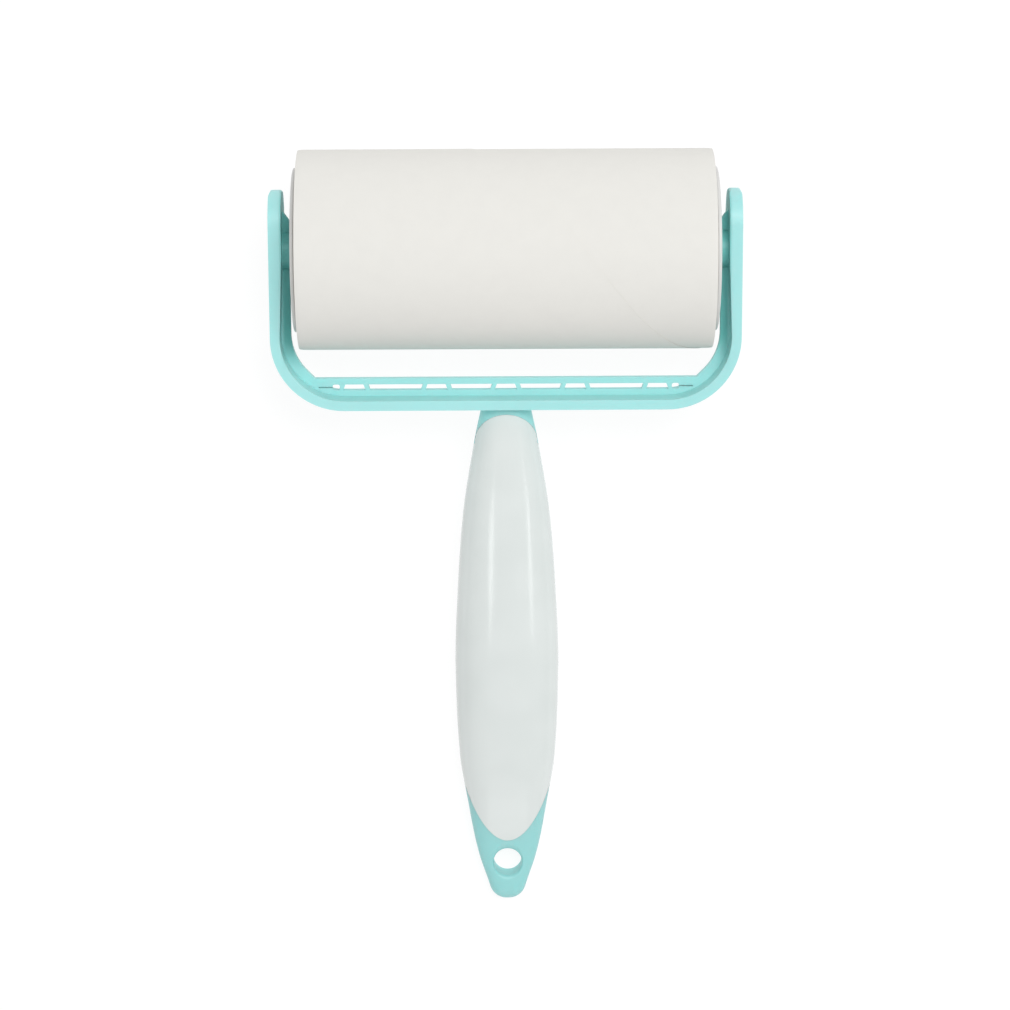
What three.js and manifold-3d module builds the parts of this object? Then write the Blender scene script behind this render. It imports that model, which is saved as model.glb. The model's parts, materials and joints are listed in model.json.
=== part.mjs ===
// Lint roller: a U-shaped yoke holds a roll of sticky paper between two hubs, on a long handle.
//
// It is laid out straight, in millimetres: X runs along the roll's axis, the handle runs to -Y,
// and +Z is the front. The last step lays the finished object down on its roll and its handle end.

import * as THREE from 'three';
import { mergeVertices } from 'three/addons/utils/BufferGeometryUtils.js';
import Module from 'manifold-3d';

const wasm = await Module();
wasm.setup();

// Gap between pieces that touch
const GAP = 0.3;

// Refill: a cardboard core, the wound paper and the sheet that is in use
const PAPER_WIDTH = 99.6;
const SHEET_RADIUS = 24.2;
const SHEET_WALL = 0.3;
const CORE_RADIUS = 19.8;
const CORE_WALL = 1.0;
const ROLL_SIDES = 72;

// Hubs: a flange at each end of the paper, plugged into the core
const HUB_FLANGE_RADIUS = 19.8;
const HUB_FLANGE_WALL = 0.9;
const HUB_PLUG_DEPTH = 15;
const HUB_PLUG_WALL = 1.6;
const HUB_BORE_RADIUS = 3.8;
const HUB_SLEEVE_RADIUS = 6;
const HUB_RIBS = 6;
const HUB_RIB_WALL = 1.2;

// Yoke: an outer flange band and a thinner web inside it
const YOKE_HALF_WIDTH = 56.8;
const YOKE_DEPTH = 16;
const ARM_TOP = 14.6;
const ARM_CORNER = 1;
const SOCKETED_IN_ARM = 1.5;
const ARM_WALL = 3.1;
const CROSSBAR_UNDER = -38.1;
const CROSSBAR_WALL = 2.35;
const CORNER_RADIUS = 17.7;
const WEB_WALL = 2;
const WEB_HALF_SPAN = 52.1;
const WEB_TOP = 9.5;
const WEB_CHAMFER = 2.2;
const TRUSS_TOP = -31.4;
const TRUSS_BAR = 1.5;
const TRUSS_OPENING = 1.4;
const STRUT_PAIRS = [-36.9, -16.9, 0, 16.9, 36.9];
const STRUT_SPREAD = 3;
const STRUT_WALL = 1.1;
const STRUT_LEAN = 0.5;
const TRUSS_EYE_END = 42.2;
const TRUSS_SLIT = 0.4;
const BOSS_RADIUS = 4.6;
const BOSS_REACH = 51.5;
const AXLE_RADIUS = 3.5;
const AXLE_REACH = 40;
const TANG_HALF_WIDTH = 3;
const TANG_HALF_DEPTH = 2;
const TANG_LENGTH = 20;

// Handle: distances along it are counted from its top end, just below the yoke.
// Each station of the profile is distance, half width, half thickness.
const HANDLE_TOP = CROSSBAR_UNDER - GAP;
const HANDLE_STATIONS = [
    [0, 5.95, 5.4],
    [8.6, 7.75, 6.4],
    [27.5, 10.75, 8.1],
    [54.2, 12.55, 9.2],
    [68, 12.8, 9.0],
    [89.2, 11.85, 7.5],
    [101.1, 9.9, 5.6],
    [110, 8.34, 3.85],
    [116, 6.93, 3.3],
    [121.2, 5.2, 3.25],
    [123.6, 4.45, 3.2],
];
const HANDLE_SIDES = 32;
const CORE_SIDES = 16;
const HANDLE_ROWS = 22;
const NOSE_ROWS = 6;
const NOSE_START_ANGLE = THREE.MathUtils.degToRad(17.4);
const NOSE_END_ANGLE = THREE.MathUtils.degToRad(80);
const OVAL_EXPONENT = 2.25;
const SQUARER_EXPONENT = 4;
const OVAL_END = 85;
const LEAST_HALF_SIZE = 0.3;
const TAB_HALF_DEPTH = 3.15;
const TAB_START = 113;
const HANG_HOLE_AT = 116.65;
const HANG_HOLE_RADIUS = 3.7;
const COVER_WALL = 1.7;
const COVER_TOP = 1.3;
const COVER_BOTTOM = 110.6;
const COVER_ARCH_HALF_WIDTH = 7.6;
const COVER_ARCH_RISE = 7.7;
const COVER_PLAN_HALF_WIDTH = 16;
const COVER_POINT_WIDTH = 8.1;
const SCREWS_AT = { cover_screw_upper: 13.6, cover_screw_lower: 95 };
const SCREW_RADIUS = 1.4;
const SCREW_HOLE_RADIUS = 1.8;
const SCREW_HEAD_RADIUS = 2.7;
const SCREW_HEAD_HEIGHT = 1.2;
const SCREW_HEAD_SINK = 0.7;
const SCREW_SLOT_HALF_LENGTH = 1.6;
const SCREW_SLOT_HALF_WIDTH = 0.3;
const SCREW_SEAT_WALL = 1.4;
const REAR_BOSS_RADIUS = 4.4;
const FRONT_BOSS_RADIUS = 3.2;
const FRONT_BOSS_REACH = 3.9;
const FRONT_SKIN = 1.4;
const CORING_BAYS = [26, 42, 58, 74];
const BAY_LENGTH = 13;
const BAY_HALF_WIDTH = 6.2;
const CORE_PLATE = 2.5;

// Below the surface of the handle: where a screw's head sits, and how far the rear boss reaches
const SCREW_SEAT = SCREW_HEAD_SINK + SCREW_HEAD_HEIGHT + GAP;
const REAR_BOSS_REACH = SCREW_SEAT + SCREW_SEAT_WALL;

// Far enough to pass through anything
const FAR = 40;

const mint = new THREE.MeshStandardMaterial({ color: '#a3e2df', roughness: 0.42, metalness: 0 });
const glossWhite = new THREE.MeshStandardMaterial({ color: '#e2e8e7', roughness: 0.12, metalness: 0 });
const hubWhite = new THREE.MeshStandardMaterial({ color: '#dcdedd', roughness: 0.45, metalness: 0 });
const cardboard = new THREE.MeshStandardMaterial({ color: '#b89b74', roughness: 0.9, metalness: 0 });
const paper = new THREE.MeshStandardMaterial({ color: '#e9e7e0', roughness: 0.8, metalness: 0 });
const steel = new THREE.MeshStandardMaterial({ color: '#b9bcbe', roughness: 0.35, metalness: 1 });

// ---- Solids ----

function solid(geometry) {
    const bare = geometry.clone();
    bare.deleteAttribute('normal');
    bare.deleteAttribute('uv');
    const merged = mergeVertices(bare, 1e-4);
    return new wasm.Manifold(new wasm.Mesh({
        numProp: 3,
        vertProperties: Float32Array.from(merged.attributes.position.array),
        triVerts: Uint32Array.from(merged.index.array),
    }));
}

function union(first, ...others) {
    return others.reduce((whole, piece) => whole.add(piece), first);
}

function without(first, ...others) {
    return others.reduce((whole, piece) => whole.subtract(piece), first);
}

function mesh(name, shape, material) {
    const { vertProperties, triVerts } = shape.getMesh();
    const geometry = new THREE.BufferGeometry();
    geometry.setAttribute('position', new THREE.BufferAttribute(vertProperties, 3));
    geometry.setIndex(new THREE.BufferAttribute(triVerts, 1));
    geometry.computeVertexNormals();
    const result = new THREE.Mesh(geometry, material);
    result.name = name;
    return result;
}

function box(fromX, toX, fromY, toY, fromZ, toZ) {
    const geometry = new THREE.BoxGeometry(toX - fromX, toY - fromY, toZ - fromZ);
    return solid(geometry.translate((fromX + toX) / 2, (fromY + toY) / 2, (fromZ + toZ) / 2));
}

// A round bar along Z at a place on the handle's centre line
function barAcross(radius, y, fromZ, toZ, sides = 20) {
    const geometry = new THREE.CylinderGeometry(radius, radius, toZ - fromZ, sides);
    geometry.rotateX(Math.PI / 2);
    return solid(geometry.translate(0, y, (fromZ + toZ) / 2));
}

// A round bar along X on the roll's axis
function barAlong(radius, fromX, toX, sides = 24) {
    const geometry = new THREE.CylinderGeometry(radius, radius, toX - fromX, sides);
    geometry.rotateZ(Math.PI / 2);
    return solid(geometry.translate((fromX + toX) / 2, 0, 0));
}

// A flat outline given thickness, centred on Z = 0
function plate(shape, thickness, curveSegments = 12) {
    const geometry = new THREE.ExtrudeGeometry(shape, {
        depth: thickness,
        bevelEnabled: false,
        curveSegments,
    });
    return solid(geometry.translate(0, 0, -thickness / 2));
}

// A profile of [radius, x] points turned about the roll's axis, with a flat of it underneath
function turned(profile, sides) {
    const points = profile.map(([radius, x]) => new THREE.Vector2(radius, x));
    points.push(points[0].clone());
    const geometry = new THREE.LatheGeometry(points, sides, Math.PI / sides);
    return solid(geometry.rotateZ(-Math.PI / 2));
}

// ---- Refill ----

function tube(outer, wall) {
    const end = PAPER_WIDTH / 2;
    const inner = outer - wall;
    return turned([[outer, -end], [outer, end], [inner, end], [inner, -end]], ROLL_SIDES);
}

function refill() {
    const woundRadius = SHEET_RADIUS - SHEET_WALL - GAP;
    const woundWall = woundRadius - CORE_RADIUS - GAP;
    return [
        mesh('working_sheet', tube(SHEET_RADIUS, SHEET_WALL), paper),
        mesh('paper_roll', tube(woundRadius, woundWall), paper),
        mesh('core_tube', tube(CORE_RADIUS, CORE_WALL), cardboard),
    ];
}

// ---- Hubs ----

// One hub on the +X end; the other is the same piece turned round
function hub(name, side) {
    const inFace = PAPER_WIDTH / 2 + GAP;
    const outFace = inFace + HUB_FLANGE_WALL;
    const plugEnd = inFace - HUB_PLUG_DEPTH;
    const plugOuter = CORE_RADIUS - CORE_WALL - GAP;
    const plugInner = plugOuter - HUB_PLUG_WALL;
    const edge = HUB_FLANGE_WALL / 3;
    const cup = turned([
        [HUB_BORE_RADIUS, outFace],
        [HUB_BORE_RADIUS, plugEnd],
        [HUB_SLEEVE_RADIUS, plugEnd],
        [HUB_SLEEVE_RADIUS, inFace],
        [plugInner, inFace],
        [plugInner, plugEnd],
        [plugOuter - edge, plugEnd],
        [plugOuter, plugEnd + 2 * edge],
        [plugOuter, inFace],
        [HUB_FLANGE_RADIUS - edge, inFace],
        [HUB_FLANGE_RADIUS, inFace + edge],
        [HUB_FLANGE_RADIUS, outFace - edge],
        [HUB_FLANGE_RADIUS - edge, outFace],
    ], 36);
    const ribInner = HUB_SLEEVE_RADIUS - 1;
    const ribOuter = plugInner + HUB_PLUG_WALL / 2;
    const ribs = [];
    for (let i = 0; i < HUB_RIBS; i++) {
        const rib = new THREE.BoxGeometry(HUB_PLUG_DEPTH - 4, ribOuter - ribInner, HUB_RIB_WALL);
        rib.translate(inFace - (HUB_PLUG_DEPTH - 4) / 2 + 0.2, (ribInner + ribOuter) / 2, 0);
        rib.rotateX(2 * Math.PI * i / HUB_RIBS);
        ribs.push(solid(rib));
    }
    const result = mesh(name, union(cup, ...ribs), hubWhite);
    result.rotation.y = side > 0 ? 0 : Math.PI;
    return result;
}

// ---- Yoke ----

// The band that runs down one arm, across and up the other
function flangeOutline() {
    const shape = new THREE.Shape();
    const centreX = YOKE_HALF_WIDTH - CORNER_RADIUS;
    const centreY = CROSSBAR_UNDER + CORNER_RADIUS;
    const innerRadius = CORNER_RADIUS - CROSSBAR_WALL;
    const innerX = YOKE_HALF_WIDTH - ARM_WALL;
    const round = ARM_CORNER;
    shape.moveTo(-YOKE_HALF_WIDTH, ARM_TOP - round);
    shape.lineTo(-YOKE_HALF_WIDTH, centreY);
    shape.absarc(-centreX, centreY, CORNER_RADIUS, Math.PI, 1.5 * Math.PI, false);
    shape.absarc(centreX, centreY, CORNER_RADIUS, -Math.PI / 2, 0, false);
    shape.lineTo(YOKE_HALF_WIDTH, ARM_TOP - round);
    shape.quadraticCurveTo(YOKE_HALF_WIDTH, ARM_TOP, YOKE_HALF_WIDTH - round, ARM_TOP);
    shape.lineTo(innerX + round, ARM_TOP);
    shape.quadraticCurveTo(innerX, ARM_TOP, innerX, ARM_TOP - round);
    shape.lineTo(innerX, 0);
    shape.absarc(centreX, centreY, innerRadius, 0, -Math.PI / 2, true);
    shape.absarc(-centreX, centreY, innerRadius, -Math.PI / 2, -Math.PI, true);
    shape.lineTo(-innerX, 0);
    shape.lineTo(-innerX, ARM_TOP - round);
    shape.quadraticCurveTo(-innerX, ARM_TOP, -innerX - round, ARM_TOP);
    shape.lineTo(-YOKE_HALF_WIDTH + round, ARM_TOP);
    shape.quadraticCurveTo(-YOKE_HALF_WIDTH, ARM_TOP, -YOKE_HALF_WIDTH, ARM_TOP - round);
    return shape;
}

// The thinner wall inside the band, up to the straight top bar of the truss
function webOutline() {
    const shape = new THREE.Shape();
    const centreX = YOKE_HALF_WIDTH - CORNER_RADIUS;
    const centreY = CROSSBAR_UNDER + CORNER_RADIUS;
    const hidden = CORNER_RADIUS - CROSSBAR_WALL / 2;
    const inner = WEB_HALF_SPAN - centreX;
    const rootX = YOKE_HALF_WIDTH - CROSSBAR_WALL / 2;
    const bend = Math.PI / 4;
    const bendX = centreX + inner * Math.cos(bend);
    const bendY = centreY - inner * Math.sin(bend);
    const barEndX = bendX - (bendY - TRUSS_TOP);
    shape.moveTo(-rootX, WEB_TOP);
    shape.lineTo(-rootX, centreY);
    shape.absarc(-centreX, centreY, hidden, Math.PI, 1.5 * Math.PI, false);
    shape.absarc(centreX, centreY, hidden, -Math.PI / 2, 0, false);
    shape.lineTo(rootX, WEB_TOP);
    shape.lineTo(YOKE_HALF_WIDTH - ARM_WALL, WEB_TOP);
    shape.lineTo(WEB_HALF_SPAN, WEB_TOP - WEB_CHAMFER);
    shape.absarc(centreX, centreY, inner, 0, -bend, true);
    shape.lineTo(barEndX, TRUSS_TOP);
    shape.lineTo(-barEndX, TRUSS_TOP);
    shape.absarc(-centreX, centreY, inner, -Math.PI + bend, -Math.PI, true);
    shape.lineTo(-WEB_HALF_SPAN, WEB_TOP - WEB_CHAMFER);
    shape.lineTo(-YOKE_HALF_WIDTH + ARM_WALL, WEB_TOP);
    shape.lineTo(-rootX, WEB_TOP);
    return shape;
}

// One four-sided opening of the truss
function opening(topLeft, topRight, bottomLeft, bottomRight) {
    const top = TRUSS_TOP - TRUSS_BAR;
    const bottom = top - TRUSS_OPENING;
    const shape = new THREE.Shape();
    shape.moveTo(bottomLeft, bottom);
    shape.lineTo(bottomRight, bottom);
    shape.lineTo(topRight, top);
    shape.lineTo(topLeft, top);
    shape.lineTo(bottomLeft, bottom);
    return plate(shape, 2 * WEB_WALL);
}

// Openings within each leaning pair of struts, between the pairs, and the eye and slit at each end
function trussOpenings() {
    const half = STRUT_WALL / 2;
    const lean = STRUT_LEAN / 2;
    const within = STRUT_SPREAD - half;
    const beyond = STRUT_SPREAD + half;
    const cuts = [];
    STRUT_PAIRS.forEach((centre, i) => {
        cuts.push(opening(
            centre - within + lean, centre + within - lean,
            centre - within - lean, centre + within + lean,
        ));
        const next = STRUT_PAIRS[i + 1];
        if (next !== undefined) {
            cuts.push(opening(
                centre + beyond - lean, next - beyond + lean,
                centre + beyond + lean, next - beyond - lean,
            ));
        }
    });
    const eyeStart = STRUT_PAIRS.at(-1) + beyond;
    const slitEnd = TRUSS_EYE_END + 3.4;
    const slitY = TRUSS_TOP - TRUSS_BAR - TRUSS_OPENING / 2;
    const halfSlit = TRUSS_SLIT / 2;
    for (const side of [-1, 1]) {
        const from = side * eyeStart;
        const to = side * TRUSS_EYE_END;
        cuts.push(opening(Math.min(from, to), Math.max(from, to), Math.min(from, to), Math.max(from, to)));
        const slitFrom = side * (TRUSS_EYE_END - 0.5);
        const slitTo = side * slitEnd;
        cuts.push(box(
            Math.min(slitFrom, slitTo), Math.max(slitFrom, slitTo),
            slitY - halfSlit, slitY + halfSlit, -WEB_WALL, WEB_WALL,
        ));
    }
    return cuts;
}

// Seen from the side, each arm ends in a half circle
function band() {
    const wide = YOKE_HALF_WIDTH + 1;
    const halfDepth = YOKE_DEPTH / 2;
    const endY = ARM_TOP - halfDepth;
    const sideView = union(
        box(-wide, wide, CROSSBAR_UNDER - 1, endY, -halfDepth, halfDepth),
        barAlong(halfDepth, -wide, wide, 32).translate([0, endY, 0]),
    );
    return plate(flangeOutline(), YOKE_DEPTH).intersect(sideView);
}

function yoke() {
    const flange = band();
    const web = without(plate(webOutline(), WEB_WALL), ...trussOpenings());
    const tangFrom = CROSSBAR_UNDER - TANG_LENGTH;
    const tangTo = CROSSBAR_UNDER + 1;
    const tang = without(
        box(-TANG_HALF_WIDTH, TANG_HALF_WIDTH, tangFrom, tangTo, -TANG_HALF_DEPTH, TANG_HALF_DEPTH),
        barAcross(SCREW_HOLE_RADIUS, HANDLE_TOP - SCREWS_AT.cover_screw_upper, -FAR, FAR),
    );
    const inArm = YOKE_HALF_WIDTH - SOCKETED_IN_ARM;
    const ends = [];
    for (const side of [-1, 1]) {
        const bossEnds = [side * BOSS_REACH, side * inArm].sort((a, b) => a - b);
        const axleEnds = [side * AXLE_REACH, side * inArm].sort((a, b) => a - b);
        ends.push(barAlong(BOSS_RADIUS, ...bossEnds));
        ends.push(barAlong(AXLE_RADIUS, ...axleEnds));
    }
    return mesh('yoke_frame', union(flange, web, tang, ...ends), mint);
}

// ---- Handle ----

const handleProfile = new THREE.CatmullRomCurve3(
    HANDLE_STATIONS.map((station) => new THREE.Vector3(...station)),
);

// The nose is an arc that goes on from the taper of the last station
const [taperEnd, taperHalfWidth, noseDepth] = HANDLE_STATIONS.at(-1);
const noseRadius = taperHalfWidth / Math.cos(NOSE_START_ANGLE);
const noseCentre = taperEnd - noseRadius * Math.sin(NOSE_START_ANGLE);
const noseRoundingStart = noseCentre + noseRadius - noseDepth;

// Distance, half width and half thickness at a row of the handle, nose rows included
function handleRow(row) {
    if (row <= HANDLE_ROWS) {
        const { x, y, z } = handleProfile.getPoint(row / HANDLE_ROWS);
        return { along: x, halfWidth: y, halfDepth: z };
    }
    const angle = THREE.MathUtils.lerp(NOSE_START_ANGLE, NOSE_END_ANGLE, (row - HANDLE_ROWS) / NOSE_ROWS);
    const along = noseCentre + noseRadius * Math.sin(angle);
    const past = Math.max(0, along - noseRoundingStart);
    return {
        along,
        halfWidth: noseRadius * Math.cos(angle),
        halfDepth: Math.sqrt(noseDepth ** 2 - past ** 2),
    };
}

// Half thickness of the handle at a distance along it
function handleDepthAt(along) {
    let row = 1;
    while (handleRow(row).along < along) {
        row++;
    }
    const before = handleRow(row - 1);
    const after = handleRow(row);
    const share = (along - before.along) / (after.along - before.along);
    return THREE.MathUtils.lerp(before.halfDepth, after.halfDepth, share);
}

// The handle's body, inset all round, with sections that go from oval to squarer near the end
function handleForm(inset, sides = HANDLE_SIDES) {
    const rows = HANDLE_ROWS + NOSE_ROWS;
    const geometry = new THREE.CylinderGeometry(1, 1, 1, sides, rows);
    const position = geometry.attributes.position;
    const power = (value, exponent) => Math.sign(value) * Math.abs(value) ** exponent;
    for (let i = 0; i < position.count; i++) {
        const row = Math.round((0.5 - position.getY(i)) * rows);
        const { along, halfWidth, halfDepth } = handleRow(row);
        const squareness = THREE.MathUtils.smoothstep(along, OVAL_END, TAB_START);
        const exponent = 2 / THREE.MathUtils.lerp(OVAL_EXPONENT, SQUARER_EXPONENT, squareness);
        const x = Math.max(halfWidth - inset, LEAST_HALF_SIZE) * power(position.getX(i), exponent);
        const z = Math.max(halfDepth - inset, LEAST_HALF_SIZE) * power(position.getZ(i), exponent);
        position.setXYZ(i, x, HANDLE_TOP - along, z);
    }
    return solid(geometry);
}

// Plan of the covers: a round arch at the top and a parabola at the bottom, wider than the handle
function coverPlan(grow) {
    const archX = COVER_ARCH_HALF_WIDTH + grow;
    const archY = COVER_ARCH_RISE;
    const archCentre = HANDLE_TOP - COVER_TOP - archY + grow;
    const sideX = COVER_PLAN_HALF_WIDTH;
    const bottom = HANDLE_TOP - COVER_BOTTOM - grow;
    const rise = sideX ** 2 / COVER_POINT_WIDTH;
    const shape = new THREE.Shape();
    shape.moveTo(archX, archCentre);
    shape.absellipse(0, archCentre, archX, archY, 0, Math.PI, false, 0);
    shape.lineTo(-sideX, archCentre - sideX);
    shape.lineTo(-sideX, bottom + rise);
    shape.quadraticCurveTo(0, bottom - rise, sideX, bottom + rise);
    shape.lineTo(sideX, archCentre - sideX);
    shape.lineTo(archX, archCentre);
    return plate(shape, 2 * FAR, 24);
}

function handleSpine() {
    const outer = without(handleForm(0), coverPlan(GAP));
    const core = handleForm(COVER_WALL + GAP, CORE_SIDES);
    const tabFaces = [
        box(-FAR, FAR, -200, HANDLE_TOP - TAB_START, TAB_HALF_DEPTH, FAR),
        box(-FAR, FAR, -200, HANDLE_TOP - TAB_START, -FAR, -TAB_HALF_DEPTH),
    ];
    const socket = box(
        -TANG_HALF_WIDTH - GAP, TANG_HALF_WIDTH + GAP,
        CROSSBAR_UNDER - TANG_LENGTH - GAP, HANDLE_TOP + 1,
        -TANG_HALF_DEPTH - GAP, TANG_HALF_DEPTH + GAP,
    );
    const hangHole = barAcross(HANG_HOLE_RADIUS, HANDLE_TOP - HANG_HOLE_AT, -FAR, FAR, 32);
    const cuts = [...tabFaces, socket, hangHole];
    for (const start of CORING_BAYS) {
        const top = HANDLE_TOP - start;
        for (const [fromZ, toZ] of [[CORE_PLATE / 2, FAR], [-FAR, -CORE_PLATE / 2]]) {
            cuts.push(box(-BAY_HALF_WIDTH, BAY_HALF_WIDTH, top - BAY_LENGTH, top, fromZ, toZ));
        }
    }
    for (const along of Object.values(SCREWS_AT)) {
        const y = HANDLE_TOP - along;
        const depth = handleDepthAt(along);
        cuts.push(barAcross(SCREW_HOLE_RADIUS, y, -FAR, FAR));
        cuts.push(barAcross(REAR_BOSS_RADIUS + GAP, y, -FAR, REAR_BOSS_REACH + GAP - depth));
        cuts.push(barAcross(FRONT_BOSS_RADIUS + GAP, y, depth - FRONT_BOSS_REACH - GAP, FAR));
    }
    return mesh('handle_spine', without(union(outer, core), ...cuts), mint);
}

// One half of the white casing, before its screw bosses
function coverSkin(side) {
    const fromZ = side > 0 ? GAP / 2 : -FAR;
    const toZ = side > 0 ? FAR : -GAP / 2;
    const half = box(-FAR, FAR, -5 * FAR, 0, fromZ, toZ);
    return handleForm(0).intersect(coverPlan(0)).intersect(half);
}

// The front half has blind bosses that the screws bite into
function frontCover() {
    const skin = coverSkin(1);
    let shell = skin.subtract(handleForm(COVER_WALL, CORE_SIDES));
    for (const along of Object.values(SCREWS_AT)) {
        const y = HANDLE_TOP - along;
        const depth = handleDepthAt(along);
        const boss = barAcross(FRONT_BOSS_RADIUS, y, depth - FRONT_BOSS_REACH, depth);
        const pilot = barAcross(SCREW_HOLE_RADIUS, y, -FAR, depth - FRONT_SKIN);
        shell = shell.add(boss.intersect(skin)).subtract(pilot);
    }
    return mesh('handle_front_cover', shell, glossWhite);
}

// The rear half has a seat that each screw's head is sunk in
function rearCover() {
    const skin = coverSkin(-1);
    let shell = skin.subtract(handleForm(COVER_WALL, CORE_SIDES));
    for (const along of Object.values(SCREWS_AT)) {
        const y = HANDLE_TOP - along;
        const depth = handleDepthAt(along);
        const boss = barAcross(REAR_BOSS_RADIUS, y, -depth, REAR_BOSS_REACH - depth);
        const hole = barAcross(SCREW_HOLE_RADIUS, y, -FAR, FAR);
        const seat = barAcross(SCREW_HEAD_RADIUS + GAP, y, -FAR, SCREW_SEAT - depth);
        shell = without(shell.add(boss.intersect(skin)), hole, seat);
    }
    return mesh('handle_rear_cover', shell, glossWhite);
}

// A cross-head screw that goes in from the rear
function screw(name, along) {
    const y = HANDLE_TOP - along;
    const depth = handleDepthAt(along);
    const headOut = SCREW_HEAD_SINK - depth;
    const headIn = headOut + SCREW_HEAD_HEIGHT;
    const tip = depth - FRONT_SKIN - GAP;
    const slotFloor = headOut + SCREW_HEAD_HEIGHT / 2;
    const body = union(
        barAcross(SCREW_HEAD_RADIUS, y, headOut, headIn),
        barAcross(SCREW_RADIUS, y, headIn - GAP, tip, 16),
    );
    const long = SCREW_SLOT_HALF_LENGTH;
    const narrow = SCREW_SLOT_HALF_WIDTH;
    return mesh(name, without(
        body,
        box(-long, long, y - narrow, y + narrow, -FAR, slotFloor),
        box(-narrow, narrow, y - long, y + long, -FAR, slotFloor),
    ), steel);
}

// ---- Assembly ----

// The object lies on the flat under its roll and on the far edge of the tab's flat rear face
const flatEnd = noseRoundingStart + Math.sqrt(noseDepth ** 2 - TAB_HALF_DEPTH ** 2);
const reach = Math.abs(HANDLE_TOP) + flatEnd;
const rollFlat = SHEET_RADIUS * Math.cos(Math.PI / ROLL_SIDES);
const restTilt = Math.asin(rollFlat / Math.hypot(reach, TAB_HALF_DEPTH)) - Math.atan2(TAB_HALF_DEPTH, reach);

const roller = new THREE.Group();
roller.add(...refill(), hub('hub_left', -1), hub('hub_right', 1));
roller.rotation.x = -restTilt;

const handle = new THREE.Group();
handle.add(handleSpine(), frontCover(), rearCover());
for (const [name, along] of Object.entries(SCREWS_AT)) {
    handle.add(screw(name, along));
}

const lintRoller = new THREE.Group();
lintRoller.add(yoke(), roller, handle);
lintRoller.rotation.x = restTilt;
const bounds = new THREE.Box3().setFromObject(lintRoller, true);
lintRoller.position.y = -(bounds.min.y + bounds.max.y) / 2;
lintRoller.position.z = -bounds.min.z;

export default lintRoller;
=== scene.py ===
# %% [markdown]
# # A lint roller, made piece by piece
# A moulded yoke holds a roll of sticky paper between two hubs, and a long oval handle with a white
# casing ends in a tab with a hanging hole. The engineering model of the same object is loaded first and
# stays as it is: it says where everything is. Each visible piece is then drawn again beside it with the
# roundings, seams and surface grain that an engineering model leaves out.

# %% Load the frame
import json
import math
import random

import bmesh
import bpy
from mathutils import Matrix, Vector


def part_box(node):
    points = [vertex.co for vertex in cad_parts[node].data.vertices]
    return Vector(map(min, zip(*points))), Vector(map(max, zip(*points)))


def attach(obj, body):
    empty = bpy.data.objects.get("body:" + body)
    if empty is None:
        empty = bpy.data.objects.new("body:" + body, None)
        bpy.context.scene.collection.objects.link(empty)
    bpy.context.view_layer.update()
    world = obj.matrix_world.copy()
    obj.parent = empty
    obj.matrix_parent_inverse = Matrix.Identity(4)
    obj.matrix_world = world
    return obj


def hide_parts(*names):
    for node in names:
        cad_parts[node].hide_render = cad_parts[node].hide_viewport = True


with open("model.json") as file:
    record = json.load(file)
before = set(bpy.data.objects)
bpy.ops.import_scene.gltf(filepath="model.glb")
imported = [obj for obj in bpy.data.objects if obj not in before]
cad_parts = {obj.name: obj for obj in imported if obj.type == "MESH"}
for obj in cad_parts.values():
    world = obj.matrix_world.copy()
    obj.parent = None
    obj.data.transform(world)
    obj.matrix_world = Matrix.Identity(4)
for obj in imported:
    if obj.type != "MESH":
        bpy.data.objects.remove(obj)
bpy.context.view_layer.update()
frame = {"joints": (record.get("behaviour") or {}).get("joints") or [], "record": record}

# %% [markdown]
# ## A bench to work on
# The roller lies tilted, because its roll is fat and its handle is slim. Drawing on a tilted plane is
# awkward, so every piece is drawn in millimetres on a straight bench: the roll's axis is X, the handle
# runs to -Y, and +Z is the front. One matrix then lays a finished piece down in its place. It comes from
# two things that the frame states: the hinge that the roll turns on, and the face of the hanging tab.

# %% The bench and the way down from it
MM = 0.001
spin_joint = frame["joints"][0]
roll_axis = Vector(spin_joint["pos_m"])
mounts = {mount["name"]: mount for mount in frame["record"]["mounts"]}
tab_normal = Vector(mounts["hang_tab_front"]["axis"])
tilt = math.atan2(-tab_normal.y, tab_normal.z)
BENCH = Matrix.Translation(roll_axis) @ Matrix.Rotation(tilt, 4, "X") @ Matrix.Scale(MM, 4)
print(f"tilt {math.degrees(tilt):.2f} degrees, roll axis at {tuple(round(v, 4) for v in roll_axis)}")


def node_size(node):
    """The size of a node of the engineering model, in millimetres."""
    low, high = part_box(node)
    return (high - low) / MM


# %% [markdown]
# ## Camera
# The roller is seen from above, from a little beyond its roll, so the crossbar shows some of its inner
# side and the hanging hole shows its far wall. The camera stands about 0.77 m up with a long lens, and
# looks at the upper part of the handle. It is rolled by a quarter of a degree, as a hand-set camera is.

# %% Camera
CAMERA_AT = (-5, 115, 770)
LOOKS_AT = (-0.33, -63.45, 0)
CAMERA_ROLL = -0.27
LENS = 114.5
CLIP_NEAR, CLIP_FAR = 0.05, 20

camera_data = bpy.data.cameras.new("camera")
camera = bpy.data.objects.new("camera", camera_data)
bpy.context.scene.collection.objects.link(camera)
camera_data.lens = LENS
camera_data.clip_start, camera_data.clip_end = CLIP_NEAR, CLIP_FAR
eye = BENCH @ Vector(CAMERA_AT)
target = BENCH @ Vector(LOOKS_AT)
back = (eye - target).normalized()
right = Vector((0, 1, 0)).cross(back).normalized()
camera.location = eye
upright = Matrix((right, back.cross(right), back)).transposed()
camera.rotation_euler = (upright @ Matrix.Rotation(math.radians(CAMERA_ROLL), 3, "Z")).to_euler()
bpy.context.scene.camera = camera
print("camera", tuple(round(v, 3) for v in eye), "looks at", tuple(round(v, 3) for v in target))

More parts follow.
